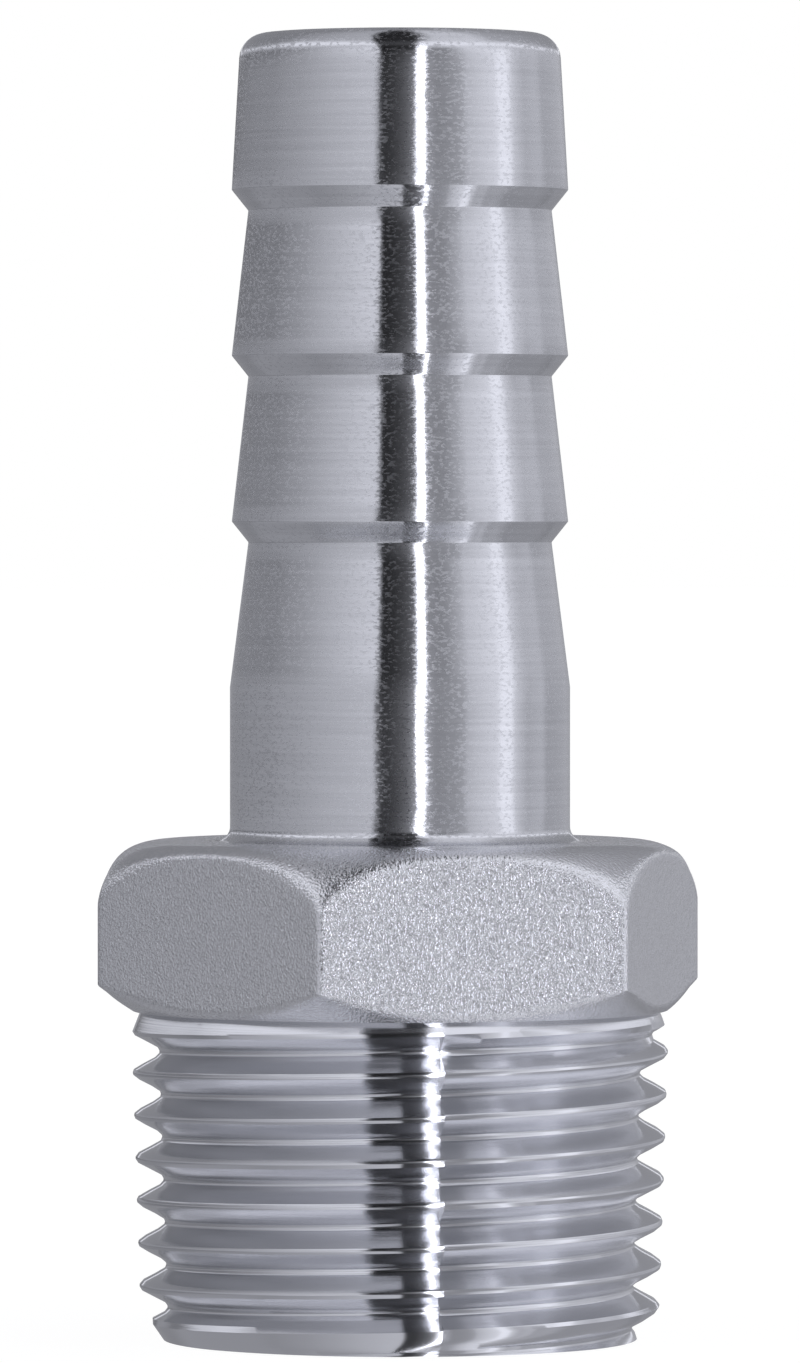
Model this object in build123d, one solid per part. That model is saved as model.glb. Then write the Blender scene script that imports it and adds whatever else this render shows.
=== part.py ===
from build123d import *
from math import cos, radians, tan
import os

# Hose barb tail: one stainless steel casting, turned and threaded. The axis is Z. The small end of
# the male pipe thread is on z = 0, the hexagon is above it and the barbs are on top. Millimetres.

# Male taper pipe thread, R 3/8, 1:16 on the diameter. The solid is as large as the thread's crests
small_end_d = 16.262
taper_on_diameter = 1 / 16
thread_length = 9.95
entry_bevel_length = 1.05
entry_bevel_depth = 0.69

# Plain neck between the thread and the hexagon, turned just below the thread's crests
neck_height = 0.38
neck_relief = 0.06

# Hexagon: flats as cast, a wide rounded shoulder above and a turned bevel below
across_flats = 17.0
hex_height = 5.34
hex_edge_radius = 0.3
shoulder_radius = 2.35
bevel_width = 1.4
bevel_angle = 33.0

# Shank for a hose of 10 mm bore: plain part, then barbs whose steep backs face the hexagon
shank_d = 10.68
shank_length = 4.8
foot_bevel = 0.2
barb_count = 3
barb_pitch = 5.2
barb_crest_d = 10.56
barb_depth = 0.52
barb_back_length = 0.65
nose_length = 4.9
nose_taper = 0.28
nose_radius = 0.8

# Through bore: a cone joins the narrow bore of the shank to the wide bore of the threaded end
shank_bore_d = 7.2
thread_bore_d = 11.0
wide_bore_in_hex = 1.1
bore_cone_angle = 45.0
shank_mouth_bevel = 0.3
thread_mouth_bevel = 0.4

# Sizes that follow from those above
corner_r = across_flats / 2 / cos(radians(30))
neck_top = thread_length + neck_height
hex_top = neck_top + hex_height
shank_top = hex_top + shank_length
tail_top = shank_top + barb_count * barb_pitch + nose_length


def crest_r(z):
    """Radius of the cone on which the thread's crests lie."""
    return small_end_d / 2 + z * taper_on_diameter / 2


def threaded_end():
    """Outline from the axis to the shoulder: end face, thread, neck, bevel and the blank's side."""
    neck_r = crest_r(thread_length) - neck_relief
    return Polyline(
        (0, 0, 0),
        (crest_r(0) - entry_bevel_depth, 0, 0),
        (crest_r(entry_bevel_length), 0, entry_bevel_length),
        (crest_r(thread_length), 0, thread_length),
        (neck_r, 0, thread_length),
        (neck_r, 0, neck_top),
        (corner_r - bevel_width, 0, neck_top),
        (corner_r, 0, neck_top + bevel_width * tan(radians(bevel_angle))),
        (corner_r, 0, hex_top - shoulder_radius),
    )


def shoulder():
    """Outline of the shoulder: a quarter round, drawn as a Bezier curve of one span."""
    # Handles of this length keep the curve within 0.001 mm of the arc
    handle = shoulder_radius * 4 / 3 * tan(radians(90 / 4))
    flat_r = corner_r - shoulder_radius
    return Bezier(
        (corner_r, 0, hex_top - shoulder_radius),
        (corner_r, 0, hex_top - shoulder_radius + handle),
        (flat_r + handle, 0, hex_top),
        (flat_r, 0, hex_top),
    )


def barbed_end():
    """Outline from the shoulder's top over the shank, its barbs and its nose, then down the axis."""
    crest = barb_crest_d / 2
    corners = [
        (corner_r - shoulder_radius, hex_top),
        (shank_d / 2 + foot_bevel, hex_top),
        (shank_d / 2, hex_top + foot_bevel),
        (shank_d / 2, shank_top),
    ]
    for barb in range(barb_count):
        crest_z = shank_top + (barb + 1) * barb_pitch
        corners += [(crest - barb_depth, crest_z - barb_back_length), (crest, crest_z)]
    rounding = [0] * (len(corners) - 1) + [nose_radius, 0]
    corners += [(crest - nose_taper, tail_top), (0, tail_top), (0, 0)]
    return FilletPolyline(*[(r, 0, z) for r, z in corners], radius=rounding)


def turned_body():
    """Everything but the flats and the bore, turned about Z."""
    outline = Wire([*threaded_end().edges(), shoulder(), *barbed_end().edges()])
    return revolve(make_face(outline), Axis.Z)


def around_flats():
    """Ring that the casting lacks outside its six flats."""
    hexagon = RegularPolygon(across_flats / 2, 6, major_radius=False)
    hexagon = fillet(hexagon.vertices(), hex_edge_radius)
    ring = Circle(across_flats) - hexagon
    return extrude(Pos(0, 0, neck_top) * ring, hex_height)


def through_bore():
    """Both bores, the cone between them and the bevels at their mouths, turned about Z."""
    narrow, wide = shank_bore_d / 2, thread_bore_d / 2
    cone_bottom = neck_top + wide_bore_in_hex
    cone_height = (wide - narrow) / tan(radians(bore_cone_angle))
    points = [
        (0, 0, 0),
        (wide + thread_mouth_bevel, 0, 0),
        (wide, 0, thread_mouth_bevel),
        (wide, 0, cone_bottom),
        (narrow, 0, cone_bottom + cone_height),
        (narrow, 0, tail_top - shank_mouth_bevel),
        (narrow + shank_mouth_bevel, 0, tail_top),
        (0, 0, tail_top),
    ]
    return revolve(make_face(Polyline(*points, close=True)), Axis.Z)


hose_tail = turned_body() - around_flats() - through_bore()

os.makedirs("parts", exist_ok=True)
export_step(hose_tail, "parts/hose_tail.step")
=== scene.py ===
from math import atan2, cos, hypot, pi, radians, sin, tan

import bpy
import numpy as np
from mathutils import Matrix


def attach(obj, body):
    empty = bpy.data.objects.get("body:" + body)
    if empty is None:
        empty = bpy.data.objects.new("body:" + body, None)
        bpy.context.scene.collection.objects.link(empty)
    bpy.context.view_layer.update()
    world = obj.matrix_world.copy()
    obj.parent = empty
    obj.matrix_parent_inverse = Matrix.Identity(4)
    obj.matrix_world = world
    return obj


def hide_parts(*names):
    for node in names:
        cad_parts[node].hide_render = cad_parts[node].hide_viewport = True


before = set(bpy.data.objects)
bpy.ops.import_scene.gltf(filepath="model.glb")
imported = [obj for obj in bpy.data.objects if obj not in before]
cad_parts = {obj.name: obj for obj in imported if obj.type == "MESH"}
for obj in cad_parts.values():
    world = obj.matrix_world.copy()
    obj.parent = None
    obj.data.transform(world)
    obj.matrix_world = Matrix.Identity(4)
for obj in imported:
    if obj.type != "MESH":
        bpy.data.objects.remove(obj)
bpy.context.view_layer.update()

# ---- Hose tail -----------------------------------------------------------------------------------
# The whole fitting is one investment casting in stainless steel, with a bore through it. The shank,
# its barbs and the thread's taper are turned on it, a male R 3/8 thread is cut on the lower end, and
# the hexagon is left as cast and shot-blasted.

mm = 0.001
end_face_r = 6.6
thread_pitch = 25.4 / 19
thread_top = 10.2
neck_foot_r = 8.145
hex_bottom = 10.33
hex_top = 15.67
flat_distance = 8.5
corner_r = flat_distance / cos(radians(30))
chamfer = 1.4
chamfer_top = hex_bottom + chamfer * tan(radians(33))
shoulder_rounding = 2.35
foot_rounding = 0.42
shank_r = 5.34
shank_top = 20.47
barb_root_r = 4.76
barb_crest_r = 5.28
barb_back = 0.65
barb_crests = (25.67, 30.87, 36.07)
nose_r = 5.0
nose_rounding = 0.8
tail_top = 40.97
narrow_bore_r = 3.6
wide_bore_r = 5.5
cone_bottom, cone_top = 11.43, 13.33
nose_bevel = 0.3
mouth_bevel = 0.4


def crest_r(z):
    """Radius of the taper on which the thread's crests lie, 1:16 on the diameter."""
    return 8.131 + z / 32


# The thread has 28 rows to the pitch, and one pitch more of them than its length, because they
# climb by one pitch on their way round
pitch_rows = 28
thread_rows = 242

# The outline and the bore are one closed loop of corners: from the end face up the outside, over
# the nose and down the bore. Each corner is its radius, its height, its rounding and the steps of
# that, and the number of rows on the way to the next corner
corners = [
    (wide_bore_r + mouth_bevel, 0, 0.05, 2, 1),
    (end_face_r, 0, 0, 0, 1),
    (crest_r(0), -thread_pitch, 0, 0, thread_rows),
    (crest_r(0), thread_pitch * (thread_rows / pitch_rows - 1), 0, 0, 1),
    (neck_foot_r, hex_bottom, 0, 0, 1),
    (corner_r - chamfer, hex_bottom, 0, 0, 16),
    (corner_r, chamfer_top, 0, 0, 21),
    (corner_r, hex_top, shoulder_rounding, 24, 4),
    (shank_r, hex_top, foot_rounding, 8, 6),
    (shank_r, shank_top, 0, 0, 8),
]
for barb_crest in barb_crests:
    corners.append((barb_root_r, barb_crest - barb_back, 0.05, 2, 4))
    corners.append((barb_crest_r, barb_crest, 0.04, 3, 8))
corners += [
    (nose_r, tail_top, nose_rounding, 8, 3),
    (narrow_bore_r + nose_bevel, tail_top, 0.03, 2, 2),
    (narrow_bore_r, tail_top - nose_bevel, 0.03, 2, 12),
    (narrow_bore_r, cone_top, 0, 0, 4),
    (wide_bore_r, cone_bottom, 0, 0, 8),
    (wide_bore_r, mouth_bevel, 0.05, 2, 3),
]

# The loop begins as a circle with a point for each corner
bpy.ops.object.select_all(action="DESELECT")
bpy.ops.mesh.primitive_circle_add(vertices=len(corners), radius=corner_r * mm)
tail = bpy.context.object
tail.name = "hose_tail_metal"
for vertex, (r, z, *_) in zip(tail.data.vertices, corners):
    vertex.co = (r * mm, 0, z * mm)


def select(mesh, vertices=(), edges=()):
    """Selects these vertices or edges alone, by number, in object mode."""
    for group in (mesh.vertices, mesh.edges, mesh.polygons):
        group.foreach_set("select", [False] * len(group))
    for edge in edges:
        mesh.edges[edge].select = True
        vertices = [*vertices, *mesh.edges[edge].vertices]
    for vertex in vertices:
        mesh.vertices[vertex].select = True


# A rounding is a bevel of its corner, set back along both edges by the tangent's length
for i, (r, z, rounding, steps, _) in enumerate(corners):
    if not rounding:
        continue
    (r0, z0, *_), (r1, z1, *_) = corners[i - 1], corners[(i + 1) % len(corners)]
    bend = abs(atan2(z - z0, r - r0) - atan2(z1 - z, r1 - r))
    setback = rounding * tan(min(bend, 2 * pi - bend) / 2)
    near = min(tail.data.vertices, key=lambda v: hypot(v.co.x - r * mm, v.co.z - z * mm))
    select(tail.data, vertices=[near.index])
    bpy.ops.object.mode_set(mode="EDIT")
    bpy.ops.mesh.select_mode(type="VERT")
    bpy.ops.mesh.bevel(offset=setback * mm, segments=steps, affect="VERTICES")
    bpy.ops.object.mode_set(mode="OBJECT")


def lies_between(vertex, start, end):
    """Whether a vertex of the outline lies on the straight way between two corners."""
    (r0, z0, *_), (r1, z1, *_) = start, end
    r, z = vertex.co.x / mm, vertex.co.z / mm
    length = hypot(r1 - r0, z1 - z0)
    across = ((r - r0) * (z1 - z0) - (z - z0) * (r1 - r0)) / length
    along = ((r - r0) * (r1 - r0) + (z - z0) * (z1 - z0)) / length
    return abs(across) <= 1e-4 and -1e-3 < along < length + 1e-3


# What the roundings leave of the way between two corners is one edge, which is cut into its rows
for i, corner in enumerate(corners):
    rows = corner[-1]
    if rows == 1:
        continue
    following = corners[(i + 1) % len(corners)]
    ends = tail.data.vertices
    straight = [
        edge.index
        for edge in tail.data.edges
        if all(lies_between(ends[v], corner, following) for v in edge.vertices)
    ]
    select(tail.data, edges=straight)
    bpy.ops.object.mode_set(mode="EDIT")
    bpy.ops.mesh.select_mode(type="EDGE")
    bpy.ops.mesh.subdivide(number_cuts=rows - 1)
    bpy.ops.object.mode_set(mode="OBJECT")

# The outline is spun about the axis into columns
columns = 240
outline_count = len(tail.data.vertices)
bpy.ops.object.mode_set(mode="EDIT")
bpy.ops.mesh.select_all(action="SELECT")
bpy.ops.mesh.spin(
    steps=columns, angle=2 * pi, center=(0, 0, 0), axis=(0, 0, 1), use_auto_merge=False
)
bpy.ops.object.mode_set(mode="OBJECT")

# From here on each point has its height, its radius, and its angle in degrees. The first and the
# last column lie on each other, at the angle where the thread's tool begins to draw back
seam_angle = -96
place = np.empty(len(tail.data.vertices) * 3)
tail.data.vertices.foreach_get("co", place)
place = place.reshape(-1, 3) / mm
z = place[:, 2]
r = np.hypot(place[:, 0], place[:, 1])
turn = (np.arange(len(z)) // outline_count) / columns
angle = (seam_angle + 360 * turn + 180) % 360 - 180

# The columns crowd towards the hexagon's six corners, and ease back to even below and above it
ease_below, ease_above = 0.38, 1.5
even_share, crowding = 0.16, 2.2
sector = np.round(angle / 60)
from_corner = angle - sector * 60
off = np.abs(from_corner) / 30
crowded = np.sign(from_corner) * 30 * (even_share * off + (1 - even_share) * off**crowding)
beside_hex = np.clip((z - hex_bottom + ease_below) / ease_below, 0, 1)
beside_hex *= np.clip((hex_top + ease_above - z) / ease_above, 0, 1)
from_corner += (crowded - from_corner) * beside_hex
angle = np.radians(sector * 60 + from_corner)

# The flats, 17 mm across, meet in corners of 0.3 mm radius
edge_r = 0.3
from_corner = np.radians(np.abs(from_corner))
centre_r = (flat_distance - edge_r) / cos(radians(30))
flat_r = flat_distance / np.cos(radians(30) - from_corner)
reach = edge_r**2 - (centre_r * np.sin(from_corner)) ** 2
round_r = centre_r * np.cos(from_corner) + np.sqrt(np.maximum(reach, 0))
half_flat = atan2((flat_distance - edge_r) * tan(radians(30)), flat_distance)
flat_r = np.where(from_corner < radians(30) - half_flat, round_r, flat_r)


def soft_min(a, b, width):
    """The smaller of two radii, run together where they come within this width."""
    near = np.maximum(width - np.abs(a - b), 0) / width
    return np.minimum(a, b) - near**2 * width / 4


# The cast edges between the flats and the turned form are soft, and turn sharp near the corners.
# What lies over 7 mm from the axis is outside, and not in the bore
cast_softness, sharp_within = 0.35, 0.4
tolerance = 0.001
bore_side_r = 7
outside = r > bore_side_r
in_hex = (z > hex_bottom - tolerance) & (z < hex_top + tolerance) & outside
softness = cast_softness * np.clip((corner_r - r) / sharp_within, 0.02, 1)
r = np.where(in_hex, soft_min(r, flat_r, softness), r)

# The rows of the thread follow its helix, crowd to its crests and roots, and stop at the two ends.
# The middle of its last full groove is at this height when it comes round to the seam
full_end = 9.4
row_crowding = 0.8
in_thread = (z < hex_bottom - tolerance) & outside
row = (z - full_end) / thread_pitch
row -= row_crowding * np.sin(4 * pi * row) / (4 * pi)
climbing = np.clip(full_end + thread_pitch * (row + turn), 0, thread_top)
z = np.where(in_thread, climbing, z)

# Its form has rounded crests and roots, and flanks at 27.5 degrees to the plane across the axis
flank_angle = radians(27.5)
groove_depth = 0.8563
round_form = 0.137329 * thread_pitch
round_half = round_form * cos(flank_angle)


def height_in_groove(away, rounded_crest):
    """Height over the root's bottom at this distance along the axis from the groove's middle."""
    root = round_form - np.sqrt(np.maximum(round_form**2 - away**2, 0))
    wall = round_form * (1 - sin(flank_angle)) + (away - round_half) / tan(flank_angle)
    from_crest = np.maximum(thread_pitch / 2 - away, 0)
    crest = groove_depth - round_form + np.sqrt(np.maximum(round_form**2 - from_crest**2, 0))
    height = np.where(away < round_half, root, wall)
    return np.where(rounded_crest & (from_crest < round_half), crest, height)


# Past the last crest the metal falls away in a cone, down to a neck under the hexagon
cone_start, cone_start_r, cone_angle = 9.6, 8.433, radians(21.5)
neck = cone_start_r - (z - cone_start) * tan(cone_angle)
limit = soft_min(crest_r(z), neck, width=0.03)

# The form is full up to the crest over the groove's last full turn, and no higher than its end.
# Above that are this turn's upper flank and the run-out: in 0.6 turns the tool draws back until it
# is clear of the crests, while it goes on up by 0.55 mm to the turn
runout_turns, runout_rise, tool_clearance = 0.6, 0.55, 0.05
root_r = crest_r(z) - groove_depth
last_full = full_end - thread_pitch * (1 - turn)
phase = (z - last_full) / thread_pitch
full = root_r + height_in_groove(np.abs(phase - np.round(phase)) * thread_pitch, True)
flank_up = root_r + height_in_groove(np.abs(z - last_full), False)
drawn = root_r + (groove_depth + tool_clearance) * turn / runout_turns
drawn += height_in_groove(np.abs(z - full_end - runout_rise * turn), False)
fading = soft_min(limit, np.minimum(flank_up, drawn), width=0.15)
is_full = (z < last_full + thread_pitch / 2) & (z < full_end)
cut = np.where(is_full, full, fading)

# A bevel, 1.05 mm long, leads the first turn into its port
bevel_length, bevel_depth = 1.05, 0.69
bevel_start_r = crest_r(0) - bevel_depth
bevel = bevel_start_r + z * (crest_r(bevel_length) - bevel_start_r) / bevel_length
r = np.where(in_thread, soft_min(cut, bevel, width=0.04), r)

# The points go to their new places. The seam is closed, what the thread's ends pressed flat goes,
# and faces that meet at more than 28 degrees keep their edge
place[:, 0], place[:, 1], place[:, 2] = r * np.cos(angle), r * np.sin(angle), z
tail.data.vertices.foreach_set("co", (place * mm).ravel())
tail.data.update()
bpy.ops.object.mode_set(mode="EDIT")
bpy.ops.mesh.select_all(action="SELECT")
bpy.ops.mesh.remove_doubles(threshold=1e-7)
bpy.ops.mesh.dissolve_degenerate(threshold=1e-7)
bpy.ops.mesh.normals_make_consistent(inside=False)
bpy.ops.object.mode_set(mode="OBJECT")
bpy.ops.object.shade_smooth_by_angle(angle=radians(28))


def colour(code):
    """An sRGB hex value as linear red, green, blue and alpha."""
    parts = [int(code[i : i + 2], 16) / 255 for i in (1, 3, 5)]
    return (*[((c + 0.055) / 1.055) ** 2.4 if c > 0.04045 else c / 12.92 for c in parts], 1)


def add(tree, kind, inputs=None, **settings):
    """Adds a node. An input is a value, a socket, or a node, of which it takes the first output."""
    made = tree.nodes.new(kind)
    for name, value in settings.items():
        setattr(made, name, value)
    for name, value in (inputs or {}).items():
        if isinstance(value, bpy.types.Node):
            value = value.outputs[0]
        if isinstance(value, bpy.types.NodeSocket):
            tree.links.new(value, made.inputs[name])
        else:
            made.inputs[name].default_value = value
    return made


def new_finish(name):
    """A material with an empty node tree, that tree, and the place on the piece to draw by."""
    made = bpy.data.materials.new(name)
    made.use_nodes = True
    made.node_tree.nodes.clear()
    return made, made.node_tree, add(made.node_tree, "ShaderNodeTexCoord").outputs["Object"]


# Turned stainless steel is bright, with the tool's faint rings, 9 to the mm. They spread a
# reflection up and down and not sideways, so it stands in upright stripes. Specks 0.15 mm wide and
# half as high, which the tool tore a little rougher, break the stripes up
turned, tree, where = new_finish("turned_stainless_steel")
rings = add(
    tree, "ShaderNodeMapping", {"Vector": where, "Scale": (0.15 / mm, 0.15 / mm, 9 / mm)}
)
rings = add(tree, "ShaderNodeTexNoise", {"Vector": rings, "Scale": 1, "Detail": 3})
tone = add(tree, "ShaderNodeMapRange", {"Value": rings, "From Min": 0.3, "From Max": 0.7})
tint = add(
    tree,
    "ShaderNodeMix",
    {0: tone, 6: colour("#D4D5D9"), 7: colour("#E0E1E5")},
    data_type="RGBA",
)
specks = add(
    tree, "ShaderNodeMapping", {"Vector": where, "Scale": (6.5 / mm, 6.5 / mm, 13 / mm)}
)
specks = add(tree, "ShaderNodeTexNoise", {"Vector": specks, "Scale": 1, "Detail": 1})
rough = add(
    tree,
    "ShaderNodeMapRange",
    {"Value": specks, "From Min": 0.52, "From Max": 0.61, "To Min": 0.13, "To Max": 0.29},
)
bump = add(tree, "ShaderNodeBump", {"Height": specks, "Distance": 0.0013 * mm, "Strength": 1})
round_axis = add(tree, "ShaderNodeTangent", direction_type="RADIAL", axis="Z")
shader = add(
    tree,
    "ShaderNodeBsdfPrincipled",
    {
        "Base Color": tint.outputs[2],
        "Metallic": 1,
        "Roughness": rough,
        "Normal": bump,
        "Anisotropic": 1,
        "Anisotropic Rotation": 0.25,
        "Tangent": round_axis,
    },
)
add(tree, "ShaderNodeOutputMaterial", {"Surface": shader})

# Cast stainless steel, shot-blasted, has dents of 0.08 mm side by side, each with its own glint. So
# a face that mirrors a lamp sparkles, and the others are an even, matt grey
cast, tree, where = new_finish("blasted_cast_steel")
dents = add(tree, "ShaderNodeTexNoise", {"Vector": where, "Scale": 12.5 / mm, "Detail": 1.5})
tint = add(
    tree,
    "ShaderNodeMix",
    {0: dents, 6: colour("#D4D5D9"), 7: colour("#F0F1F4")},
    data_type="RGBA",
)
bump = add(tree, "ShaderNodeBump", {"Height": dents, "Distance": 0.034 * mm, "Strength": 1})
shader = add(
    tree,
    "ShaderNodeBsdfPrincipled",
    {"Base Color": tint.outputs[2], "Metallic": 1, "Roughness": 0.17, "Normal": bump},
)
add(tree, "ShaderNodeOutputMaterial", {"Surface": shader})

# Stainless steel as the thread's tool leaves it has no specks, so its upright stripes stay crisp
# from turn to turn. Its fine rings are 16 to the mm, and level, because the groove climbs so little
threaded, tree, where = new_finish("thread_cut_steel")
rings = add(
    tree, "ShaderNodeMapping", {"Vector": where, "Scale": (0.04 / mm, 0.04 / mm, 16 / mm)}
)
rings = add(tree, "ShaderNodeTexNoise", {"Vector": rings, "Scale": 1, "Detail": 2})
bump = add(tree, "ShaderNodeBump", {"Height": rings, "Distance": 0.003 * mm, "Strength": 1})
round_axis = add(tree, "ShaderNodeTangent", direction_type="RADIAL", axis="Z")
shader = add(
    tree,
    "ShaderNodeBsdfPrincipled",
    {
        "Base Color": colour("#DEDFE3"),
        "Metallic": 1,
        "Roughness": 0.13,
        "Normal": bump,
        "Anisotropic": 1,
        "Anisotropic Rotation": 0.25,
        "Tangent": round_axis,
    },
)
add(tree, "ShaderNodeOutputMaterial", {"Surface": shader})

# Bored stainless steel is duller than the outside, with the boring bar's coarser rings, 5 to the mm.
# Its colour is painted darker than the outside's, as painted shade inside the hollow bore
bored_with_painted_shade, tree, where = new_finish("bored_steel_with_painted_shade")
rings = add(
    tree, "ShaderNodeMapping", {"Vector": where, "Scale": (0.3 / mm, 0.3 / mm, 5 / mm)}
)
rings = add(tree, "ShaderNodeTexNoise", {"Vector": rings, "Scale": 1, "Detail": 2})
# Painted shade: both colours are darker than the outside's steel, to shade the bore's hollow
tint = add(
    tree,
    "ShaderNodeMix",
    {0: rings, 6: colour("#A2A3AA"), 7: colour("#D2D3D8")},
    data_type="RGBA",
)
bump = add(tree, "ShaderNodeBump", {"Height": rings, "Distance": 0.01 * mm, "Strength": 1})
shader = add(
    tree,
    "ShaderNodeBsdfPrincipled",
    {"Base Color": tint.outputs[2], "Metallic": 1, "Roughness": 0.3, "Normal": bump},
)
add(tree, "ShaderNodeOutputMaterial", {"Surface": shader})

# The faces of the bore turn inwards, and the other faces take their finish from their height. The
# shoulder is cast up to 6 mm from the axis, where the turned foot of the shank begins
finishes = (turned, cast, threaded, bored_with_painted_shade)
for made in finishes:
    tail.data.materials.append(made)
foot_r = 6
bore_edge = 0.1
for face in tail.data.polygons:
    x, y, height = (c / mm for c in face.center)
    radius = hypot(x, y)
    inward = face.normal.x * x + face.normal.y * y < -0.01
    if inward and radius < wide_bore_r + bore_edge or radius < narrow_bore_r + bore_edge:
        made = bored_with_painted_shade
    elif height < hex_bottom + tolerance:
        made = threaded
    elif height < hex_top + tolerance and radius > foot_r:
        made = cast
    else:
        made = turned
    face.material_index = finishes.index(made)

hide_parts("hose_tail")
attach(tail, "root")

# ---- Floor ---------------------------------------------------------------------------------------
# A sheet of white paper lies under the fitting. It looks white to the camera and keeps a faint
# shadow. What the metal mirrors, and a look from below, pass through it to the tent.

bpy.ops.object.select_all(action="DESELECT")
bpy.ops.mesh.primitive_plane_add(size=6, location=(0, 0, -0.02 * mm))
floor = bpy.context.object
floor.name = "floor"
paper = bpy.data.materials.new("white_paper")
paper.use_nodes = True
tree = paper.node_tree
tree.nodes.clear()
seen = add(tree, "ShaderNodeLightPath")
white = add(tree, "ShaderNodeBsdfDiffuse", {"Color": (0.8, 0.8, 0.8, 1)})
glow = add(tree, "ShaderNodeEmission", {"Color": (1, 1, 1, 1), "Strength": 0.95})
shadow = add(tree, "ShaderNodeBsdfDiffuse", {"Color": (0.12, 0.12, 0.12, 1)})
to_camera = add(tree, "ShaderNodeAddShader", {0: glow, 1: shadow})
lit = add(
    tree, "ShaderNodeMixShader", {0: seen.outputs["Is Camera Ray"], 1: white, 2: to_camera}
)
side = add(tree, "ShaderNodeNewGeometry")
through = add(
    tree,
    "ShaderNodeMath",
    {0: side.outputs["Backfacing"], 1: seen.outputs["Is Glossy Ray"]},
    operation="MAXIMUM",
)
clear = add(tree, "ShaderNodeBsdfTransparent")
sheet = add(tree, "ShaderNodeMixShader", {0: through, 1: lit, 2: clear})
add(tree, "ShaderNodeOutputMaterial", {"Surface": sheet})
floor.data.materials.append(paper)

# ---- Light ---------------------------------------------------------------------------------------
# A tent of white cloth stands round the fitting, lighter and darker from place to place. On the
# camera's side it has a black gap, with a narrow bright lamp to the right of it. To the camera
# itself it is plain white.

world = bpy.data.worlds.new("light_tent")
bpy.context.scene.world = world
world.use_nodes = True
tree = world.node_tree
tree.nodes.clear()

# Azimuth 0 is the camera's side, and it grows towards its right. Far up and far down it gathers to
# the front
camera_side = radians(-15.5)
way = add(tree, "ShaderNodeTexCoord").outputs["Generated"]
way = add(tree, "ShaderNodeMapping", {"Vector": way, "Rotation": (0, 0, -camera_side)})
axes = add(tree, "ShaderNodeSeparateXYZ", {0: way})
height = axes.outputs[2]
steep = add(tree, "ShaderNodeMath", {0: height}, operation="ABSOLUTE")
lean = add(tree, "ShaderNodeMath", {0: steep, 1: 0.3}, operation="SUBTRACT")
lean = add(tree, "ShaderNodeMath", {0: lean, 1: 0}, operation="MAXIMUM")
front = add(
    tree, "ShaderNodeMath", {0: axes.outputs[1], 1: -1, 2: lean}, operation="MULTIPLY_ADD"
)
azimuth = add(tree, "ShaderNodeMath", {0: axes.outputs[0], 1: front}, operation="ARCTAN2")

# What turned faces of one slope mirror lies on one line round the tent, which is higher in front
# than behind. The slope is named by the line's height in front
line = add(tree, "ShaderNodeMath", {0: azimuth, 1: 0.5}, operation="MULTIPLY")
line = add(tree, "ShaderNodeMath", {0: line}, operation="COSINE")
line = add(tree, "ShaderNodeMath", {0: line, 1: 0.15}, operation="MAXIMUM")
slope = add(tree, "ShaderNodeMath", {0: steep, 1: line}, operation="DIVIDE")

# Away from eye level the gap and the lamp lie 3 degrees further to the right
aside = add(
    tree,
    "ShaderNodeMapRange",
    {"Value": slope, "From Min": 0.05, "From Max": 0.2, "To Min": 0, "To Max": radians(3)},
    interpolation_type="SMOOTHSTEP",
)
azimuth = add(tree, "ShaderNodeMath", {0: azimuth, 1: aside}, operation="SUBTRACT")

# Far below is the table, close by, so its light and its dark lie closer together
low = add(
    tree,
    "ShaderNodeMapRange",
    {"Value": height, "From Min": -0.3, "From Max": -0.6},
    interpolation_type="SMOOTHSTEP",
)
closer = add(tree, "ShaderNodeMath", {0: low, 1: 1.6, 2: 1}, operation="MULTIPLY_ADD")
azimuth = add(tree, "ShaderNodeMath", {0: azimuth, 1: closer}, operation="MULTIPLY")
azimuth = add(
    tree, "ShaderNodeMath", {0: low, 1: radians(-13), 2: azimuth}, operation="MULTIPLY_ADD"
)
way_round = add(tree, "ShaderNodeMapRange", {"Value": azimuth, "From Min": -pi, "From Max": pi})


def tent_ring(stops):
    """How bright the tent is all the way round, at these azimuths in degrees."""
    brightest = 5
    ring = add(tree, "ShaderNodeValToRGB", {0: way_round})
    while len(ring.color_ramp.elements) < len(stops):
        ring.color_ramp.elements.new(0.5)
    for element, (degrees, _) in zip(ring.color_ramp.elements, stops):
        element.position = (degrees + 180) / 360
    for element, (_, level) in zip(ring.color_ramp.elements, stops):
        element.color = (level / brightest, level / brightest, level / brightest, 1)
    return add(tree, "ShaderNodeMath", {0: ring, 1: brightest}, operation="MULTIPLY")


# Upright faces mirror the ring at eye level, the thread's flanks the one some way above and below
# it, and faces that lean more the one far above and below
level_ring = tent_ring([
    (-180, 0.37), (-150, 0.35), (-104, 0.41), (-75, 0.48), (-52, 0.56), (-23, 0.64),
    (-17.3, 0.66), (-16.7, 0.04), (-8, 0.06), (-2, 0.11), (4, 0.2), (8.5, 0.38), (10, 0.5),
    (10.7, 5), (14.2, 5), (15.2, 0.5), (24, 0.34), (38, 0.39), (44, 0.46), (45.5, 0.6),
    (53, 0.71), (69, 0.91), (72, 1.15), (81, 1.15), (84, 0.8), (88, 0.7), (96, 0.53),
    (106, 0.6), (112, 0.62), (118, 0.46), (150, 0.5), (180, 0.37),
])
raised_ring = tent_ring([
    (-180, 0.16), (-105, 0.18), (-79, 0.36), (-52, 0.7), (-28, 1.0), (-17.3, 1.1),
    (-16.7, 0.01), (9, 0.02), (10.2, 5), (14.2, 5), (15.2, 0.2), (30, 0.3), (45, 0.85),
    (76, 1.2), (90, 0.8), (117, 0.65), (152, 0.6), (180, 0.16),
])
high_ring = tent_ring([
    (-180, 0.3), (-105, 0.28), (-79, 0.36), (-52, 0.46), (-17.3, 0.56), (-16.7, 0.02),
    (5, 0.03), (9, 0.4), (14, 0.75), (40, 0.8), (60, 0.5), (117, 0.42), (180, 0.3),
])
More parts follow.
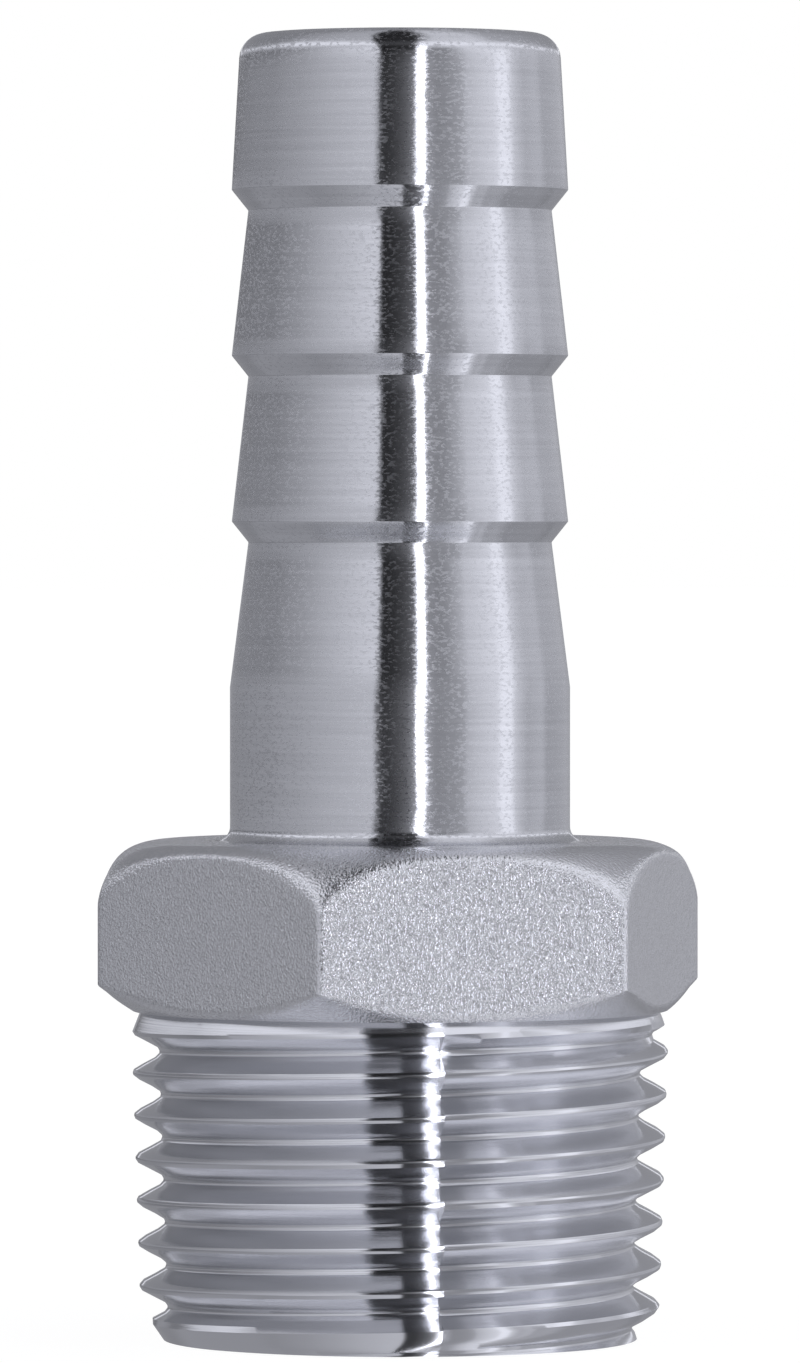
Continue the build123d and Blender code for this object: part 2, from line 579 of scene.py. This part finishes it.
raised = add(
    tree,
    "ShaderNodeMapRange",
    {"Value": slope, "From Min": 0.232, "From Max": 0.25},
    interpolation_type="SMOOTHSTEP",
)
level = add(tree, "ShaderNodeMix", {0: raised, 2: level_ring, 3: raised_ring})
high = add(
    tree,
    "ShaderNodeMapRange",
    {"Value": slope, "From Min": 0.42, "From Max": 0.5},
    interpolation_type="SMOOTHSTEP",
)
level = add(tree, "ShaderNodeMix", {0: high, 2: level, 3: high_ring})

# A lamp box hangs in a belt round the upper tent, and over it the tent is dim again
belt_start = add(
    tree,
    "ShaderNodeMapRange",
    {"Value": slope, "From Min": 0.53, "From Max": 0.62},
    interpolation_type="SMOOTHSTEP",
)
belt_end = add(
    tree,
    "ShaderNodeMapRange",
    {"Value": slope, "From Min": 0.85, "From Max": 0.73},
    interpolation_type="SMOOTHSTEP",
)
upper = add(
    tree,
    "ShaderNodeMapRange",
    {"Value": height, "From Min": 0, "From Max": 0.1},
    interpolation_type="SMOOTHSTEP",
)
belt = add(tree, "ShaderNodeMath", {0: belt_start, 1: belt_end}, operation="MULTIPLY")
belt = add(tree, "ShaderNodeMath", {0: belt, 1: upper}, operation="MULTIPLY")
lamp_box = add(tree, "ShaderNodeMath", {0: high_ring, 1: 3.2}, operation="MULTIPLY")
lamp_box = add(tree, "ShaderNodeMath", {0: lamp_box, 1: 1.15}, operation="MINIMUM")
level = add(tree, "ShaderNodeMix", {0: belt, 2: level, 3: lamp_box})

# Far below, the table is lit as the tent is at eye level
table = add(
    tree,
    "ShaderNodeMapRange",
    {"Value": height, "From Min": -0.35, "From Max": -0.5},
    interpolation_type="SMOOTHSTEP",
)
level = add(tree, "ShaderNodeMix", {0: table, 2: level, 3: level_ring})
cloth = add(tree, "ShaderNodeBackground", {"Color": colour("#F6F7FF"), "Strength": level})
plain = add(tree, "ShaderNodeBackground", {"Color": (1, 1, 1, 1), "Strength": 1})
seen = add(tree, "ShaderNodeLightPath").outputs["Is Camera Ray"]
tent = add(tree, "ShaderNodeMixShader", {0: seen, 1: cloth, 2: plain})
add(tree, "ShaderNodeOutputWorld", {"Surface": tent})

# ---- Camera --------------------------------------------------------------------------------------
# It stands 325 mm from the axis, a little to the left of the front flat and a little above the
# fitting's middle, and looks down by about one degree.

bpy.ops.object.camera_add()
camera = bpy.context.object
camera.name = "camera"
distance = 325 * mm
camera_height = 26 * mm
looks_down = 0.944
camera.location = (distance * sin(camera_side), -distance * cos(camera_side), camera_height)
camera.rotation_euler = (radians(90 - looks_down), 0, camera_side)
camera.data.sensor_width = 36
camera.data.lens = 273.4
camera.data.clip_start = 0.01
bpy.context.scene.camera = camera
bpy.context.scene.view_settings.view_transform = "Standard"
